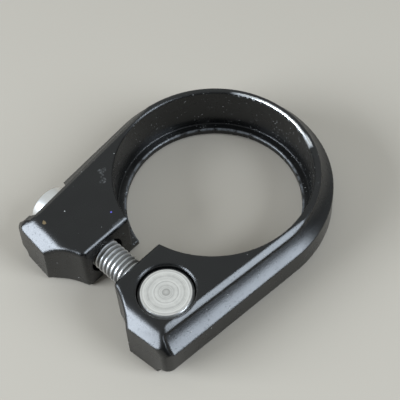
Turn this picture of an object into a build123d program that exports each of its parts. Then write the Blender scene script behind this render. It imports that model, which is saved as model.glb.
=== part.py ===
from build123d import *
from math import cos, hypot, radians, sin, sqrt, tan
import os

os.makedirs("parts", exist_ok=True)

# Collar, in millimetres. The bore axis is Z, the gap opens toward -Y, the bolt lies along X at mid height.
tube_diameter = 31.8
body_height = 9.6
land_width = 1.15
land_taper = 5.2

# Band round the middle, with a sloping chamfer above it and a small cove below. A flute hollows the chamfer.
band_projection = 2.04
band_taper = 5.4
bevel_height = 2.9
band_base = 2.4
band_draft = 2.5
rim_height = 0.5
rim_round = 0.4
flute_radius = 9.0
flute_step = 0.05
flute_top = 1.15
flute_drop = 0.2
flute_taper = 6.2
flute_margin = 1.0
flute_lean = 21.0
flute_round = 0.7
lower_cove_radius = 1.3

# Stop lip at the bottom of the bore.
lip_reach = 1.4
lip_height = 1.6
lip_break = 0.5
lip_round = 0.3
bore_break = 0.2

# Ears, gap and the scallop between the two front horns. Offsets along Y are from the bolt's axis.
bolt_offset = 4.6
front_offset = 8.1
mouth_offset = 3.85
front_slant = 5.0
front_bevel = 2.45
front_bevel_height = 1.95
lower_front_bevel = 0.6
bevel_round = 3.0
flank_bevel_taper = 6.2
flank_bevel_slope = 34.0
flank_bevel_reach = 2.8
flank_bevel_inset = 0.8
flank_bevel_runout = 5.0
gap_width = 6.5
gap_corner_round = 0.9
edge_round = 0.8
scallop_radius = 13.0
tip_round = 1.5
ridge_round = 1.5

# Barrel nut standing upright in the ear on +X.
barrel_diameter = 8.4
barrel_clearance = 0.2
barrel_recess = 0.45
barrel_chamfer = 0.4
barrel_inset = 7.15
seat_break = 0.25

# Socket head bolt, M5 with a 4 mm key.
bolt_diameter = 5.0
thread_clearance = 0.05
hole_clearance = 0.55
head_diameter = 7.6
head_height = 3.8
head_taper = 5.0
head_chamfer = 0.25
head_clearance = 0.4
head_gap = 0.15
seat_inset = 5.94
thread_reach = 2.8
bolt_chamfer = 0.6
socket_flats = 4.0
socket_depth = 2.2
blind_end_gap = 1.2

half_height = body_height / 2
tube_radius = tube_diameter / 2
lip_radius = tube_radius - lip_reach
land_radius = tube_radius + land_width
bevel_radius = land_radius - flank_bevel_inset
band_radius = land_radius + band_projection
bolt_y = -tube_radius - bolt_offset
front_reach = front_offset - bolt_y
scallop_floor = bolt_y - mouth_offset
band_top = body_height - bevel_height
chamfer_height = bevel_height - rim_height
flute_wall = land_radius + flute_step
flute_run = band_radius - flute_wall
flute_fall = bevel_height + flute_drop - flute_top
flute_chord = hypot(flute_run, flute_fall)
flute_offset = sqrt(flute_radius**2 - flute_chord**2 / 4) / flute_chord
flute_out = flute_run / 2 + flute_fall * flute_offset
flute_z = body_height - flute_top - flute_fall / 2 + flute_run * flute_offset
flute_reach = flute_run + 1.5
flute_foot = flute_z - sqrt(flute_radius**2 - (flute_reach - flute_out)**2)
barrel_x = land_radius - barrel_inset
barrel_edge = barrel_x + barrel_diameter / 2 + barrel_clearance
bolt_hole = bolt_diameter + 2 * hole_clearance
head_pocket = head_diameter + 2 * head_clearance
seat_x = seat_inset - band_radius
head_x = seat_x - head_gap
bolt_end_x = barrel_x + thread_reach


def flank_start(radius, taper):
    return (radius * cos(radians(taper)), -radius * sin(radians(taper)))


def front_corner(radius, taper, reach):
    lean = cos(radians(taper + front_slant))
    x = (radius * cos(radians(front_slant)) - reach * sin(radians(taper))) / lean
    y = -(reach * cos(radians(taper)) - radius * sin(radians(front_slant))) / lean
    return (x, y)


def flank_plane(point, taper, height, side):
    outward = (side * cos(radians(taper)), -sin(radians(taper)), 0)
    along = (sin(radians(taper)), side * cos(radians(taper)), 0)
    return Plane(origin=(side * point[0], point[1], height), x_dir=outward, z_dir=along)


def slope_plane(point, turn, run, rise, side):
    outward = (side * cos(radians(turn)) * run, -sin(radians(turn)) * run, rise)
    return Plane(origin=(side * point[0], point[1], point[2]), z_dir=outward)


def front_plane(level, run, rise, side):
    foot_z = half_height - front_bevel_height
    foot = (level * sin(radians(front_slant)), -level * cos(radians(front_slant)), foot_z)
    return slope_plane(foot, 90 - front_slant, run, rise, side)


def upright_plane(y):
    return Plane(origin=(0, y, -half_height), x_dir=(1, 0, 0), z_dir=(0, -1, 0))


base_radius = band_radius + band_top * tan(radians(band_draft))
base_reach = front_reach + (body_height - front_bevel_height) * tan(radians(band_draft))
band_start = flank_start(base_radius, band_taper)
band_tip = front_corner(base_radius, band_taper, base_reach)
land_start = flank_start(land_radius, land_taper)
land_end = front_corner(land_radius, land_taper, front_reach + 4)
flute_start = flank_start(flute_wall, flute_taper)
flute_end = front_corner(flute_wall, flute_taper, front_reach + 2)
flat_start = flank_start(bevel_radius, flank_bevel_taper)
flat_end = front_corner(bevel_radius, flank_bevel_taper, front_reach + 4)
front_middle = -base_reach / cos(radians(front_slant))

# Cutter for the flute: a hollow slope under a low step, cut off short of each front.
with BuildPart() as flute_cutter:
    with BuildLine(Plane.XY.offset(-half_height)) as flute_line:
        Line(flute_end, flute_start)
        CenterArc((0, 0), flute_wall, -flute_taper, 180 + 2 * flute_taper)
        Line((-flute_start[0], flute_start[1]), (-flute_end[0], flute_end[1]))
    with BuildSketch(flank_plane(flute_end, flute_taper, -half_height, 1)):
        with BuildLine():
            Polyline((flute_reach, -flute_foot), (flute_reach, -body_height - 1), (0, -body_height - 1),
                     (0, flute_top - body_height))
            RadiusArc((0, flute_top - body_height), (flute_reach, -flute_foot), flute_radius)
        make_face()
    sweep(path=flute_line.line)
    for side in (1, -1):
        end = front_plane(front_reach - flute_margin, 1, tan(radians(flute_lean)), side)
        split(bisect_by=end, keep=Keep.BOTTOM)
    ends = flute_cutter.edges().filter_by(lambda e: e.center().Z < half_height - flute_top
                                          and e.center().Y < scallop_floor - 1)
    fillet(ends, flute_round)

with BuildPart() as clamp_body:
    # Blank with the plan of the band, full height and slightly drafted, with both slanted fronts bevelled.
    with BuildSketch(Plane.XY.offset(-half_height)):
        with BuildLine():
            CenterArc((0, 0), base_radius, -band_taper, 180 + 2 * band_taper)
            Polyline(band_start, band_tip, (0, front_middle), (-band_tip[0], band_tip[1]),
                     (-band_start[0], band_start[1]))
        make_face()
    extrude(amount=body_height, taper=band_draft)
    for side in (1, -1):
        split(bisect_by=front_plane(front_reach, front_bevel_height, front_bevel, side), keep=Keep.BOTTOM)
    bottom_face = clamp_body.faces().sort_by(Axis.Z)[0]
    chamfer(bottom_face.edges().filter_by(GeomType.LINE).sort_by(Axis.Y)[:2], lower_front_bevel)

    # Soft shoulders where the front bevels meet the flat upper face.
    top_face = clamp_body.faces().sort_by(Axis.Z)[-1]
    fillet(top_face.edges().filter_by(GeomType.LINE).sort_by(Axis.Y)[:2], bevel_round)

    # Chamfer above the band and cove below it, swept from one ear round the ring to the other.
    with BuildLine(Plane.XY.offset(-half_height)) as land_line:
        Line(land_end, land_start)
        CenterArc((0, 0), land_radius, -land_taper, 180 + 2 * land_taper)
        Line((-land_start[0], land_start[1]), (-land_end[0], land_end[1]))
    with BuildSketch(flank_plane(land_end, land_taper, -half_height, 1)):
        outer = band_projection + 6
        slope_end = band_top - (outer - band_projection) * chamfer_height / band_projection
        with BuildLine():
            Polyline((0, rim_round - body_height), (0, rim_height - body_height), (outer, -slope_end),
                     (outer, -body_height - 1), (-rim_round, -body_height - 1), (-rim_round, -body_height))
            RadiusArc((-rim_round, -body_height), (0, rim_round - body_height), -rim_round)
        make_face()
        with BuildLine():
            Polyline((lower_cove_radius, -band_base), (outer, -band_base), (outer, 1), (-rim_round, 1),
                     (-rim_round, 0))
            RadiusArc((-rim_round, 0), (0, -rim_round), rim_round)
            Line((0, -rim_round), (0, lower_cove_radius - band_base))
            RadiusArc((0, lower_cove_radius - band_base), (lower_cove_radius, -band_base),
                      -lower_cove_radius)
        make_face()
    sweep(path=land_line.line, mode=Mode.SUBTRACT)

    # Bevel along each upper flank, widening from the ring to the ear tip.
    for side in (1, -1):
        with BuildSketch(flank_plane(flat_end, flank_bevel_taper, half_height, side)):
            fall = flank_bevel_reach * tan(radians(flank_bevel_slope))
            Polygon((0, 0), (flank_bevel_reach, fall), (flank_bevel_reach, -1), (0, -1), align=None)
        extrude(amount=side * (flat_start[1] - flat_end[1] + flank_bevel_runout), mode=Mode.SUBTRACT)

    # Rounded upright corners at the ear tips.
    tips = clamp_body.edges().filter_by(lambda e: abs(e.tangent_at(0.5).Z) > 0.6)
    tips = tips.filter_by(lambda e: e.center().Y < scallop_floor and e.center().Z > band_base - half_height)
    fillet(tips, tip_round)

    # Rounded ridges where each front bevel meets the chamfer and the flank bevel.
    for side in (1, -1):
        front = front_plane(front_reach, front_bevel_height, front_bevel, side)
        slopes = (slope_plane((*land_start, half_height - rim_height), land_taper, chamfer_height,
                              band_projection, side),
                  slope_plane((*flat_start, half_height), flank_bevel_taper, tan(radians(flank_bevel_slope)),
                              1, side))
        for slope in slopes:
            ridge = front.intersect(slope)
            turn = radians(front.z_dir.get_angle(slope.z_dir) / 2)
            inner = -ridge_round * tan(turn) * sin(turn)
            half_width = ridge_round * sin(turn)
            across = front.z_dir + slope.z_dir
            with BuildSketch(Plane(origin=ridge.position, x_dir=across, z_dir=ridge.direction)):
                with BuildLine():
                    Polyline((inner, half_width), (ridge_round, 0), (inner, -half_width))
                    ThreePointArc((inner, -half_width), (ridge_round - ridge_round / cos(turn), 0),
                                  (inner, half_width))
                make_face()
            extrude(amount=2 * front_reach, both=True, mode=Mode.SUBTRACT)

    # Flute along the chamfer, with round ends just short of the ear tips.
    add(flute_cutter.part, mode=Mode.SUBTRACT)

    # Gap and the scallop between the horns, cut together.
    with BuildSketch(Plane.XY.offset(-half_height)):
        with Locations((0, scallop_floor - scallop_radius)):
            Circle(scallop_radius)
        with Locations((0, scallop_floor - 1)):
            Rectangle(gap_width, 1 - scallop_floor, align=(Align.CENTER, Align.MIN))
        mouth = vertices().filter_by_position(Axis.Y, scallop_floor - 1.5, scallop_floor)
        fillet(mouth.sort_by(lambda v: abs(abs(v.X) - gap_width / 2))[:2], gap_corner_round)
    extrude(amount=body_height, mode=Mode.SUBTRACT)

    # Tube bore and stop lip in one turned section, with its edges broken.
    with BuildSketch(upright_plane(0)):
        with BuildLine():
            Polyline((lip_radius, lip_height - lip_round), (lip_radius, lip_break),
                     (lip_radius + lip_break, 0), (0, 0), (0, body_height),
                     (tube_radius + bore_break, body_height), (tube_radius, body_height - bore_break),
                     (tube_radius, lip_height), (lip_radius + lip_round, lip_height))
            RadiusArc((lip_radius + lip_round, lip_height), (lip_radius, lip_height - lip_round), -lip_round)
        make_face()
    revolve(axis=Axis.Z, mode=Mode.SUBTRACT)
    gap_edges = clamp_body.edges().filter_by(Axis.Y)
    gap_edges = gap_edges.filter_by(lambda e: abs(abs(e.center().X) - gap_width / 2) < 0.001)
    fillet(gap_edges.filter_by(lambda e: abs(e.center().Z) > half_height - 0.01), edge_round)

    # Barrel bore with broken edges, bolt hole blind in the far ear, and the pocket that seats the head.
    with BuildSketch(upright_plane(bolt_y)):
        with BuildLine():
            Polyline((barrel_x, 0), (barrel_edge + seat_break, 0), (barrel_edge, seat_break),
                     (barrel_edge, body_height - seat_break), (barrel_edge + seat_break, body_height),
                     (barrel_x, body_height), close=True)
        make_face()
    revolve(axis=Axis((barrel_x, bolt_y, 0), (0, 0, 1)), mode=Mode.SUBTRACT)
    with BuildSketch(Plane.YZ.offset(bolt_end_x + blind_end_gap)):
        with Locations((bolt_y, 0)):
            Circle(bolt_hole / 2)
    extrude(amount=-(bolt_end_x + blind_end_gap + band_radius), mode=Mode.SUBTRACT)
    with BuildSketch(Plane.YZ.offset(seat_x)):
        with Locations((bolt_y, 0)):
            Circle(head_pocket / 2)
    extrude(amount=-(seat_x + band_radius), mode=Mode.SUBTRACT)
clamp_body.part.label = "clamp_body"
export_step(clamp_body.part, "parts/clamp_body.step")

with BuildPart() as barrel_nut:
    with BuildSketch(Plane.XY.offset(barrel_recess - half_height)):
        with Locations((barrel_x, bolt_y)):
            Circle(barrel_diameter / 2)
    extrude(amount=body_height - 2 * barrel_recess)
    chamfer(barrel_nut.edges().filter_by(GeomType.CIRCLE), barrel_chamfer)
    with BuildSketch(Plane.YZ.offset(barrel_x)):
        with Locations((bolt_y, 0)):
            Circle(bolt_diameter / 2 + thread_clearance)
    extrude(amount=barrel_diameter, both=True, mode=Mode.SUBTRACT)
barrel_nut.part.label = "barrel_nut"
export_step(barrel_nut.part, "parts/barrel_nut.step")

with BuildPart() as clamp_bolt:
    with BuildSketch(Plane.YZ.offset(head_x)):
        with Locations((bolt_y, 0)):
            Circle(head_diameter / 2)
    extrude(amount=-head_height, taper=head_taper)
    chamfer(clamp_bolt.edges().sort_by(Axis.X)[0], head_chamfer)
    with BuildSketch(Plane.YZ.offset(head_x)):
        with Locations((bolt_y, 0)):
            Circle(bolt_diameter / 2)
    extrude(amount=bolt_end_x - head_x)
    chamfer(clamp_bolt.edges().sort_by(Axis.X)[-1], bolt_chamfer)
    with BuildSketch(Plane.YZ.offset(head_x - head_height)):
        with Locations((bolt_y, 0)):
            RegularPolygon(socket_flats / 2, 6, major_radius=False)
    extrude(amount=socket_depth, mode=Mode.SUBTRACT)
clamp_bolt.part.label = "clamp_bolt"
export_step(clamp_bolt.part, "parts/clamp_bolt.step")
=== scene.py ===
from math import cos, pi, radians, sin, tan

import bpy
from mathutils import Euler, Matrix, Vector


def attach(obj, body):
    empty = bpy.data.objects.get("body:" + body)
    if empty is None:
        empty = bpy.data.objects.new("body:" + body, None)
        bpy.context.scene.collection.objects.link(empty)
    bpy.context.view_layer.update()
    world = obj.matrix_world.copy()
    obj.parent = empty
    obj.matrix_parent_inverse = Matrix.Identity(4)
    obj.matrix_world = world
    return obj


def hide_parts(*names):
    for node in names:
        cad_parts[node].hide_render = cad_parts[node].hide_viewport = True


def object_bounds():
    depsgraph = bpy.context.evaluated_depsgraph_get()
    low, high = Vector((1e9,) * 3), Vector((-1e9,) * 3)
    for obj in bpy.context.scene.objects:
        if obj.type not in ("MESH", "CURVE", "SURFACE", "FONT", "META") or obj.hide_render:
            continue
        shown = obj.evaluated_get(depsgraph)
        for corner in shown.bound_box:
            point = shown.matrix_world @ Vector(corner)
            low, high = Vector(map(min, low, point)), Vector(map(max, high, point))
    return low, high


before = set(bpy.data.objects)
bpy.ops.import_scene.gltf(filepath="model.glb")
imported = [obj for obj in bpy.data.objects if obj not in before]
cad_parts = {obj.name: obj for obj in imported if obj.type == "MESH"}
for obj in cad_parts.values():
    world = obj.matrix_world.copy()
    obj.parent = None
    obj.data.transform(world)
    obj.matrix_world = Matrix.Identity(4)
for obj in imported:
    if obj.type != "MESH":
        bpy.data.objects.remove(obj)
cadLow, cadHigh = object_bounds()
mm = 0.001
weld = {"cad": 0.002 * mm, "lathe": 0.001 * mm, "fine": 0.0005 * mm}
print("frame loaded:", sorted(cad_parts))


class Sock:
    # one shader socket, with the arithmetic that the finishes below are written in
    def __init__(self, tree, socket):
        self.tree = tree
        self.socket = socket

    def node(self, kind, settings=None, output=0, **inputs):
        made = self.tree.nodes.new(kind)
        for name, value in (settings or {}).items():
            setattr(made, name, value)
        for name, value in inputs.items():
            key = int(name[1:]) if name[0] == "i" and name[1:].isdigit() else name.replace("_", " ")
            if isinstance(value, Sock):
                self.tree.links.new(value.socket, made.inputs[key])
            else:
                made.inputs[key].default_value = value
        return Sock(self.tree, made.outputs[output])

    def maths(self, operation, first, second=0.0):
        return self.node("ShaderNodeMath", {"operation": operation}, i0=first, i1=second)

    def __add__(self, other):
        return self.maths("ADD", self, other)

    def __radd__(self, other):
        return self.maths("ADD", other, self)

    def __sub__(self, other):
        return self.maths("SUBTRACT", self, other)

    def __rsub__(self, other):
        return self.maths("SUBTRACT", other, self)

    def __mul__(self, other):
        return self.maths("MULTIPLY", self, other)

    def __rmul__(self, other):
        return self.maths("MULTIPLY", other, self)

    def __gt__(self, other):
        return self.maths("GREATER_THAN", self, other)

    def __abs__(self):
        return self.maths("ABSOLUTE", self)

    def root(self):
        return self.maths("SQRT", self)

    def most(self, other):
        return self.maths("MAXIMUM", self, other)

    def angle(self, other):
        # degrees of the direction whose sine side is this and cosine side is other
        return self.maths("ARCTAN2", self, other) * (180 / pi)

    def step(self, low, high):
        # 0 below low, 1 above high, smooth between
        return self.node("ShaderNodeMapRange", {"interpolation_type": "SMOOTHSTEP"},
                         Value=self, From_Min=low, From_Max=high)

    def fall(self, low, high):
        return 1 - self.step(low, high)

    def blend(self, first, second):
        # first where this is 0, second where it is 1
        return self.node("ShaderNodeMix", {"data_type": "RGBA"}, 2, i0=self, i6=first, i7=second)


def newFinish(name):
    # a fresh material: its shader, and the point in millimetres as a vector and as x, y, z
    finish = bpy.data.materials.new(name)
    finish.use_nodes = True
    tree = finish.node_tree
    shader = tree.nodes["Principled BSDF"]
    place = Sock(tree, tree.nodes.new("ShaderNodeTexCoord").outputs["Object"])
    point = place.node("ShaderNodeVectorMath", {"operation": "SCALE"}, i0=place, Scale=1000.0)
    axes = [point.node("ShaderNodeSeparateXYZ", None, k, Vector=point) for k in range(3)]
    return finish, shader, point, axes


def feed(shader, **links):
    for name, value in links.items():
        socket = shader.inputs[name.replace("_", " ")]
        if isinstance(value, Sock):
            value.tree.links.new(value.socket, socket)
        else:
            socket.default_value = value


def shifted(point, offset):
    return point.node("ShaderNodeVectorMath", {"operation": "ADD"}, i0=point, i1=offset)


def stretched(point, factors):
    return point.node("ShaderNodeVectorMath", {"operation": "MULTIPLY"}, i0=point, i1=factors)


def noise(point, scale, detail=2.0, rough=0.5):
    return point.node("ShaderNodeTexNoise", None, 0, Vector=point, Scale=scale, Detail=detail,
                      Roughness=rough)


def specks(point, scale, size, share):
    # scattered dots: one cell in so many, each as wide as size of a cell
    settings = {"feature": "F1"}
    reach = point.node("ShaderNodeTexVoronoi", settings, 0, Vector=point, Scale=scale)
    colour = point.node("ShaderNodeTexVoronoi", settings, 1, Vector=point, Scale=scale)
    draw = point.node("ShaderNodeSeparateColor", None, 0, Color=colour)
    return reach.fall(size * 0.6, size) * (draw > 1 - share)


def spot(point, centre, radii, ragged):
    # a soft round patch at a place, its outline made uneven by ragged
    away = stretched(shifted(point, tuple(-c for c in centre)), tuple(1 / r for r in radii))
    reach = point.node("ShaderNodeVectorMath", {"operation": "LENGTH"}, 1, i0=away)
    return (reach + ragged).fall(0.75, 1.05)


def selectOnly(piece):
    bpy.ops.object.select_all(action="DESELECT")
    piece.select_set(True)
    bpy.context.view_layer.objects.active = piece


def applyAll(piece):
    selectOnly(piece)
    for modifier in list(piece.modifiers):
        bpy.ops.object.modifier_apply(modifier=modifier.name)


def dress(piece, finish):
    piece.data.materials.clear()
    piece.data.materials.append(finish)


def stand(piece, node, body):
    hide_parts(node)
    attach(piece, body)


# camera, fitted to the bore's circles and the ears
shot = {"azimuth": 46.225, "elevation": 55.309, "roll": -3.109, "distance": 143.744 * mm,
        "target": (0.332 * mm, -3.56 * mm, 0.30 * mm), "lens": 81.0}


def placeCamera(shot):
    bpy.ops.object.camera_add()
    camera = bpy.context.object
    camera.name = "viewCamera"
    turn = Euler((radians(90 - shot["elevation"]), 0, radians(shot["azimuth"]))).to_matrix()
    turn = turn @ Matrix.Rotation(radians(shot["roll"]), 3, "Z")
    camera.matrix_world = turn.to_4x4()
    camera.location = Vector(shot["target"]) + turn @ Vector((0, 0, shot["distance"]))
    camera.data.lens = shot["lens"]
    camera.data.sensor_width = 36.0
    camera.data.clip_start = 0.005
    camera.data.clip_end = 20.0
    bpy.context.scene.camera = camera


placeCamera(shot)
print("camera placed")

# floor and light: a window at the front left and one at the right, in a room that darkens low down in front
studio = {
    "floorSize": 3.0, "floorColour": (0.34, 0.305, 0.255, 1.0), "floorGloss": 0.9, "floorDrift": 1.03,
    "roomAxis": (-0.35, 0.35, 0.87), "roomSpan": (-0.25, 0.95),
    "roomLow": (0.03, 0.03, 0.03, 1.0), "roomHigh": (0.62, 0.65, 0.65, 1.0),
}
lamps = {
    "frontWindow": {"turn": 241, "rise": 25, "away": 0.50, "size": (0.34, 0.19), "glow": 22.5,
                    "colour": (0.80, 0.89, 1.0)},
    "sideWindow": {"turn": 19, "rise": 36, "away": 0.50, "size": (0.22, 0.31), "glow": 14.0,
                   "colour": (0.78, 0.88, 1.0)},
}


def layFloor(studio):
    bpy.ops.mesh.primitive_plane_add(size=studio["floorSize"], location=(0, 0, cadLow.z))
    floor = bpy.context.object
    floor.name = "paleFloor"
    bpy.ops.object.transform_apply(location=True, rotation=True, scale=True)
    finish, shader, point, axes = newFinish("palePaper")
    grain = noise(point, 0.02, 3.0)
    pale = studio["floorColour"]
    paler = tuple(c * studio["floorDrift"] for c in pale[:3]) + (1.0,)
    feed(shader, Base_Color=grain.blend(pale, paler), Roughness=studio["floorGloss"])
    dress(floor, finish)


def hangLamps(lamps):
    for name, lamp in lamps.items():
        turn, rise = radians(lamp["turn"]), radians(lamp["rise"])
        toward = Vector((cos(turn) * cos(rise), sin(turn) * cos(rise), sin(rise)))
        width, height = lamp["size"]
        bpy.ops.object.light_add(type="AREA")
        light = bpy.context.object
        light.name = name
        light.data.shape = "RECTANGLE"
        light.data.size, light.data.size_y = width, height
        light.data.energy = lamp["glow"] * pi * width * height
        light.data.color = lamp["colour"]
        light.location = toward * lamp["away"]
        light.rotation_euler = toward.to_track_quat("Z", "Y").to_euler()


def lightWorld(studio):
    world = bpy.data.worlds.new("softWorld")
    world.use_nodes = True
    tree = world.node_tree
    way = Sock(tree, tree.nodes.new("ShaderNodeTexCoord").outputs["Generated"])
    lift = way.node("ShaderNodeVectorMath", {"operation": "DOT_PRODUCT"}, 1, i0=way, i1=studio["roomAxis"])
    shade = lift.step(*studio["roomSpan"]).blend(studio["roomLow"], studio["roomHigh"])
    tree.links.new(shade.socket, tree.nodes["Background"].inputs["Color"])
    bpy.context.scene.world = world
    bpy.context.scene.view_settings.view_transform = "Standard"


layFloor(studio)
hangLamps(lamps)
lightWorld(studio)
print("floor and lamps set")


def weldedCopy(node, name, smoothAngle):
    # a CAD node's mesh with its faces joined, so that it shades smoothly
    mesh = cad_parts[node].data.copy()
    piece = bpy.data.objects.new(name, mesh)
    bpy.context.scene.collection.objects.link(piece)
    selectOnly(piece)
    bpy.ops.object.mode_set(mode="EDIT")
    bpy.ops.mesh.select_all(action="SELECT")
    bpy.ops.mesh.customdata_custom_splitnormals_clear()
    bpy.ops.mesh.remove_doubles(threshold=weld["cad"])
    bpy.ops.object.mode_set(mode="OBJECT")
    bpy.ops.object.shade_smooth_by_angle(angle=radians(smoothAngle))
    return piece


# collar: satin black over forged aluminium, dusty in the bore and chipped along its rim
collarLook = {
    "smoothAngle": 22.0, "edgeSoft": 0.4 * mm,
    "black": (0.0012, 0.0013, 0.0013, 1.0), "worn": (0.003, 0.0031, 0.0031, 1.0),
    "gloss": 0.27, "bareMetal": (0.78, 0.79, 0.80, 1.0), "dust": (0.42, 0.42, 0.40, 1.0),
    "scuffTone": (0.20, 0.20, 0.195, 1.0), "tanTone": (0.20, 0.14, 0.07, 1.0),
    # rubbedSheenTone: a lighter grey for painted highlights on the lip edge and a worn gap-edge facet
    "blueTone": (0.10, 0.09, 0.45, 1.0), "rubbedSheenTone": (0.10, 0.105, 0.11, 1.0),
    "bore": 15.9, "lipBore": 14.5, "lipTop": -3.2, "rimFoot": 4.15, "rimBreak": 0.2,
    "chipFrom": 57.0, "chipTo": 69.0, "lineFrom": 58.0, "lineTo": 124.0, "bumpDepth": 0.03 * mm,
    "scuffs": (((-12.7, -12.1, 4.8), (0.55, 0.75, 0.5)), ((-11.2, -13.3, 4.8), (0.5, 0.6, 0.5)),
               ((-12.0, -12.8, 4.8), (0.3, 0.45, 0.5))),
    "tanChip": ((-12.1, -24.7, 4.6), (0.45, 0.3, 0.4)),
    "blueSpeck": ((-5.9, -16.5, 4.8), (0.16, 0.16, 0.4)),
    "wornEdgeSheen": ((-3.6, -17.2, 4.6), (0.5, 1.5, 0.6)),
}


def blackFinish(look):
    finish, shader, point, (x, y, z) = newFinish("satinBlack")
    cloud = noise(point, 0.25, 4.0)
    grain = noise(point, 5.0, 3.0)
    ragged = (noise(point, 2.2, 4.0, 0.65) - 0.5) * 1.6
    radius = (x * x + y * y).root()
    heading = y.angle(x)

    inBore = radius.fall(look["bore"] + 0.05, look["bore"] + 0.15)
    patchy = noise(shifted(point, (7, 1, 3)), 0.35, 4.0, 0.7).step(0.48, 0.66)
    fineDust = specks(shifted(point, (3, 5, 7)), 2.6, 0.30, 0.35) * patchy
    strewn = specks(shifted(point, (2, 9, 4)), 1.7, 0.13, 0.10) * patchy
    loose = specks(point, 0.8, 0.10, 0.10).most(strewn)
    dusty = loose.most(fineDust * inBore * 0.8)

    # bare metal along the rim of the bore: a wide chipped stretch, and a thin line on from it
    rim = abs(radius - look["bore"] - look["rimBreak"]) + ragged * 0.22
    start, end = look["chipFrom"], look["chipTo"]
    wide = heading.step(start, start + 4) * heading.fall(end - 6, end)
    start, end = look["lineFrom"], look["lineTo"]
    thin = heading.step(start, start + 6) * heading.fall(end - 12, end)
    onRim = z.step(look["rimFoot"], look["rimFoot"] + 0.25)
    chip = onRim * (rim.fall(0.30, 0.40) * wide).most(rim.fall(0.13, 0.19) * thin)

    scuff = spot(point, *look["scuffs"][0], ragged)
    for place in look["scuffs"][1:]:
        scuff = scuff.most(spot(point, *place, ragged))
    tanned = spot(point, *look["tanChip"], ragged)
    # a worn facet on the gap edge, painted lighter: real wear carrying a painted highlight
    bright = spot(point, *look["wornEdgeSheen"], ragged)

    blue = spot(point, *look["blueSpeck"], 0.0)
    # the lip's rounded inner edge painted lighter: a painted highlight, with some rubbing
    lipTop = look["lipTop"]
    lipEdge = (radius - look["lipBore"]).fall(0.15, 0.40) * z.step(lipTop - 0.45, lipTop - 0.15)
    rubbedSheen = lipEdge * noise(point, 0.9, 3.0, 0.6).step(0.35, 0.60)

    tone = cloud.blend(look["black"], look["worn"])
    worn = scuff * noise(point, 3.0, 4.0, 0.7).step(0.44, 0.60)
    tone = (worn * 0.30).blend(tone, look["scuffTone"])
    tone = (blue * 0.8).blend(tone, look["blueTone"])
    tone = (tanned * 0.6).blend(tone, look["tanTone"])
    # painted highlight on the lip edge and the worn gap edge, over wear
    tone = (bright * 0.25).most(rubbedSheen * 0.7).blend(tone, look["rubbedSheenTone"])
    tone = (dusty * 0.8).blend(tone, look["dust"])
    tone = chip.blend(tone, look["bareMetal"])
    gloss = look["gloss"] + 0.10 * (cloud - 0.5) + 0.2 * worn + 0.5 * dusty
    soft = point.node("ShaderNodeBevel", {"samples": 6}, 0, Radius=look["edgeSoft"])
    pits = specks(shifted(point, (11, 2, 5)), 2.6, 0.34, 0.30)
    height = grain * 1.2 - pits * 0.9 + dusty * 1.5 - chip * 1.2 + bright * ragged * 0.8
    bump = point.node("ShaderNodeBump", None, 0, Strength=0.25, Distance=look["bumpDepth"], Height=height,
                      Normal=soft)
    feed(shader, Base_Color=tone, Roughness=gloss, Metallic=chip, Normal=bump)
    return finish


collar = weldedCopy("clamp_body", "collarBody", collarLook["smoothAngle"])
stand(collar, "clamp_body", "collar")
dress(collar, blackFinish(collarLook))
print("collar dressed:", len(collar.data.polygons), "faces")

# barrel nut: turned steel, with uneven rings on its end faces
nutLook = {
    "smoothAngle": 22.0, "axis": (9.9, -20.5), "endFace": 4.30, "coreRadius": 1.6,
    "steel": (0.97, 0.96, 0.93, 1.0), "dull": (0.42, 0.415, 0.40, 1.0),
    "gloss": 0.30, "bumpDepth": 0.03 * mm,
}


def turnedFinish(look):
    finish, shader, point, (x, y, z) = newFinish("turnedSteel")
    across = x - look["axis"][0]
    along = y - look["axis"][1]
    sway = noise(point, 0.35, 2.0) - 0.5
    radius = (across * across + along * along).root() + sway * 0.25
    line = point.node("ShaderNodeCombineXYZ", None, 0, X=radius)
    rings = noise(line, 3.2, 4.0, 0.7)
    fine = noise(line, 11.0, 2.0, 0.6)
    endFace = abs(z).step(look["endFace"], look["endFace"] + 0.04)
    mottle = noise(point, 1.3, 3.0)
    core = radius.fall(0.2, look["coreRadius"])
    shade = (rings - 0.5) * 3.6 + (fine - 0.5) * 1.4 + (mottle - 0.5) * 0.6 + core * 0.35 + 0.22
    tone = (shade * endFace).blend(look["steel"], look["dull"])
    height = (rings + fine * 0.6) * endFace
    bump = point.node("ShaderNodeBump", None, 0, Strength=0.5, Distance=look["bumpDepth"], Height=height)
    gloss = look["gloss"] + 0.12 * (mottle - 0.5)
    feed(shader, Base_Color=tone, Roughness=gloss, Metallic=1.0, Normal=bump)
    return finish


nut = weldedCopy("barrel_nut", "barrelNut", nutLook["smoothAngle"])
stand(nut, "barrel_nut", "nut")
dress(nut, turnedFinish(nutLook))
print("barrel nut dressed:", len(nut.data.polygons), "faces")

# bolt along X: lathed head with a hexagon socket, and a helical thread; places and radii in millimetres
boltShape = {
    "axisY": -20.5, "headEnd": -17.1, "headSeat": -13.3, "headRadius": 3.8, "headTaper": 5.0,
    "headRound": 0.25, "seatBreak": 0.12, "neck": -12.7, "neckRadius": 1.9, "tip": 12.7, "tipChamfer": 0.6,
    "pitch": 0.8, "crest": 2.5, "crestEase": 0.01, "rootRadius": 2.03, "threadStart": -14.4, "turns": 35,
    "socketFlats": 4.0, "socketDepth": 2.2, "leadDepth": 0.25, "sides": 48,
    "toothHalf": ((0, 0), (0.125, 0), (0.2, 0.08), (0.4125, 0.84)), "crestShare": 0.4625,
}


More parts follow.
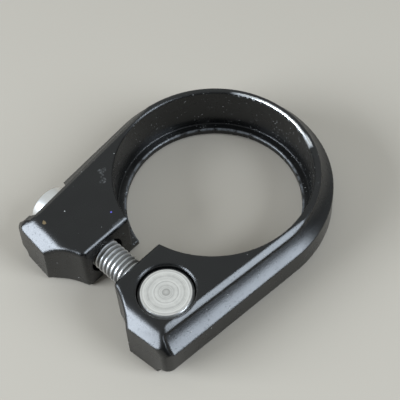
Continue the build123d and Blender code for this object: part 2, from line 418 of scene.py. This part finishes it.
def traceLine(name, points, place):
    # one vertex, extruded from point to point
    bpy.ops.object.select_all(action="DESELECT")
    bpy.ops.mesh.primitive_plane_add(size=mm, location=place)
    piece = bpy.context.object
    piece.name = name
    bpy.ops.object.mode_set(mode="EDIT")
    bpy.ops.mesh.select_all(action="SELECT")
    bpy.ops.mesh.merge(type="CENTER")
    last = Vector((0, 0, 0))
    for index, (along, out) in enumerate(points):
        here = Vector((along * mm, out * mm, 0))
        if index == 0:
            bpy.ops.transform.translate(value=here)
        else:
            bpy.ops.mesh.extrude_vertices_move(TRANSFORM_OT_translate={"value": here - last})
        last = here
    bpy.ops.object.mode_set(mode="OBJECT")
    return piece


def turnAbout(piece, sides, turns=1, rise=0.0):
    # turns the line about X, rising along it by one pitch a turn
    screw = piece.modifiers.new("turning", "SCREW")
    screw.axis = "X"
    screw.angle = 2 * pi
    screw.iterations = turns
    screw.screw_offset = rise
    screw.steps = screw.render_steps = sides
    screw.use_merge_vertices = True
    screw.merge_threshold = weld["fine"]
    applyAll(piece)
    bpy.ops.object.mode_set(mode="EDIT")
    bpy.ops.mesh.select_all(action="SELECT")
    bpy.ops.mesh.remove_doubles(threshold=weld["lathe"])
    bpy.ops.mesh.normals_make_consistent(inside=False)
    bpy.ops.object.mode_set(mode="OBJECT")


def cutEnd(piece, along, keepAbove):
    # trims the thread square at one end and closes it
    selectOnly(piece)
    bpy.ops.object.mode_set(mode="EDIT")
    bpy.ops.mesh.select_all(action="SELECT")
    bpy.ops.mesh.bisect(plane_co=(along * mm, 0, 0), plane_no=(1, 0, 0), use_fill=True,
                        clear_inner=keepAbove, clear_outer=not keepAbove)
    bpy.ops.object.mode_set(mode="OBJECT")


def combine(piece, other, operation):
    boolean = piece.modifiers.new("join", "BOOLEAN")
    boolean.operation = operation
    boolean.solver = "EXACT"
    boolean.object = other
    applyAll(piece)
    bpy.data.objects.remove(other)


def makeBolt(shape):
    place = (0, shape["axisY"] * mm, 0)
    end, seat, tip, edge = shape["headEnd"], shape["headSeat"], shape["tip"], shape["headRound"]
    topRadius = shape["headRadius"] - (seat - end) * tan(radians(shape["headTaper"]))
    corner = shape["socketFlats"] / 2 / cos(radians(30))
    lead, foot, neck = end + shape["leadDepth"], shape["seatBreak"], shape["neck"]
    head = traceLine("headLine", [
        (lead, 0), (lead, corner - 0.15), (end, corner + 0.12), (end, topRadius - edge),
        (end + edge * 0.3, topRadius - edge * 0.25),
        (end + edge, topRadius + edge * tan(radians(shape["headTaper"]))),
        (seat - foot, shape["headRadius"] - 0.02), (seat, shape["headRadius"] - 0.02 - foot),
        (seat, shape["crest"] - 0.1), (neck, shape["neckRadius"]), (neck, 0)], place)
    turnAbout(head, shape["sides"] * 2)

    bpy.ops.object.select_all(action="DESELECT")
    bpy.ops.mesh.primitive_cylinder_add(vertices=6, radius=corner * mm, depth=2 * shape["socketDepth"] * mm,
                                        location=(end * mm, shape["axisY"] * mm, 0),
                                        rotation=(0, pi / 2, 0))
    key = bpy.context.object
    combine(head, key, "DIFFERENCE")

    pitch, crest, root = shape["pitch"], shape["crest"], shape["rootRadius"]
    rising = [(share * pitch, root + height * (crest - root)) for share, height in shape["toothHalf"]]
    rising.append((shape["crestShare"] * pitch, crest - shape["crestEase"]))
    tooth = rising + [(pitch - along, out) for along, out in reversed(rising)]
    tooth = [(shape["threadStart"] + along, out) for along, out in tooth]
    rod = traceLine("threadLine", tooth, place)
    turnAbout(rod, shape["sides"], shape["turns"], pitch * mm)
    cutEnd(rod, seat - 0.4, True)
    cutEnd(rod, tip, False)
    chamfer = shape["tipChamfer"]
    cone = traceLine("tipLine", [
        (seat - 2, 0), (seat - 2, crest + 0.2), (tip - chamfer - 0.2, crest + 0.2),
        (tip + 0.1, crest - chamfer - 0.1), (tip + 0.1, 0)], place)
    turnAbout(cone, shape["sides"])
    combine(rod, cone, "INTERSECT")
    combine(head, rod, "UNION")

    head.name = "clampBolt"
    selectOnly(head)
    bpy.ops.object.transform_apply(location=True, rotation=True, scale=True)
    bpy.ops.object.mode_set(mode="EDIT")
    bpy.ops.mesh.select_all(action="SELECT")
    bpy.ops.mesh.remove_doubles(threshold=weld["fine"])
    bpy.ops.mesh.normals_make_consistent(inside=False)
    bpy.ops.object.mode_set(mode="OBJECT")
    bpy.ops.object.shade_smooth_by_angle(angle=radians(30))
    return head


# grimeAndShade: the dark of the thread roots, part grime and part painted shade
boltLook = {"bright": (0.90, 0.90, 0.89, 1.0), "grimeAndShade": (0.06, 0.055, 0.045, 1.0), "gloss": 0.32}


def platedFinish(look, shape):
    finish, shader, point, (x, y, z) = newFinish("platedSteel")
    along = y - shape["axisY"]
    radius = (along * along + z * z).root()
    mottle = noise(point, 1.1, 4.0, 0.6)
    fine = noise(stretched(point, (1.0, 6.0, 6.0)), 1.4, 2.0)
    onThread = x.step(shape["headSeat"] - 0.05, shape["headSeat"] + 0.05)
    # thread roots darkened, duller and less metallic: grime, plus painted shade in the recesses
    rootDirtAndShade = (radius + (mottle - 0.5) * 0.4).fall(2.22, 2.47) * onThread
    tone = (mottle * 0.35).blend(look["bright"], (0.55, 0.55, 0.54, 1.0))
    tone = (rootDirtAndShade * 0.85).blend(tone, look["grimeAndShade"])
    gloss = look["gloss"] + 0.10 * (mottle - 0.5) + 0.35 * rootDirtAndShade
    bump = point.node("ShaderNodeBump", None, 0, Strength=0.2, Distance=0.00002, Height=fine)
    feed(shader, Base_Color=tone, Roughness=gloss, Metallic=1 - 0.6 * rootDirtAndShade, Normal=bump)
    return finish


bolt = makeBolt(boltShape)
stand(bolt, "clamp_bolt", "bolt")
dress(bolt, platedFinish(boltLook, boltShape))
print("bolt made:", len(bolt.data.polygons), "faces")
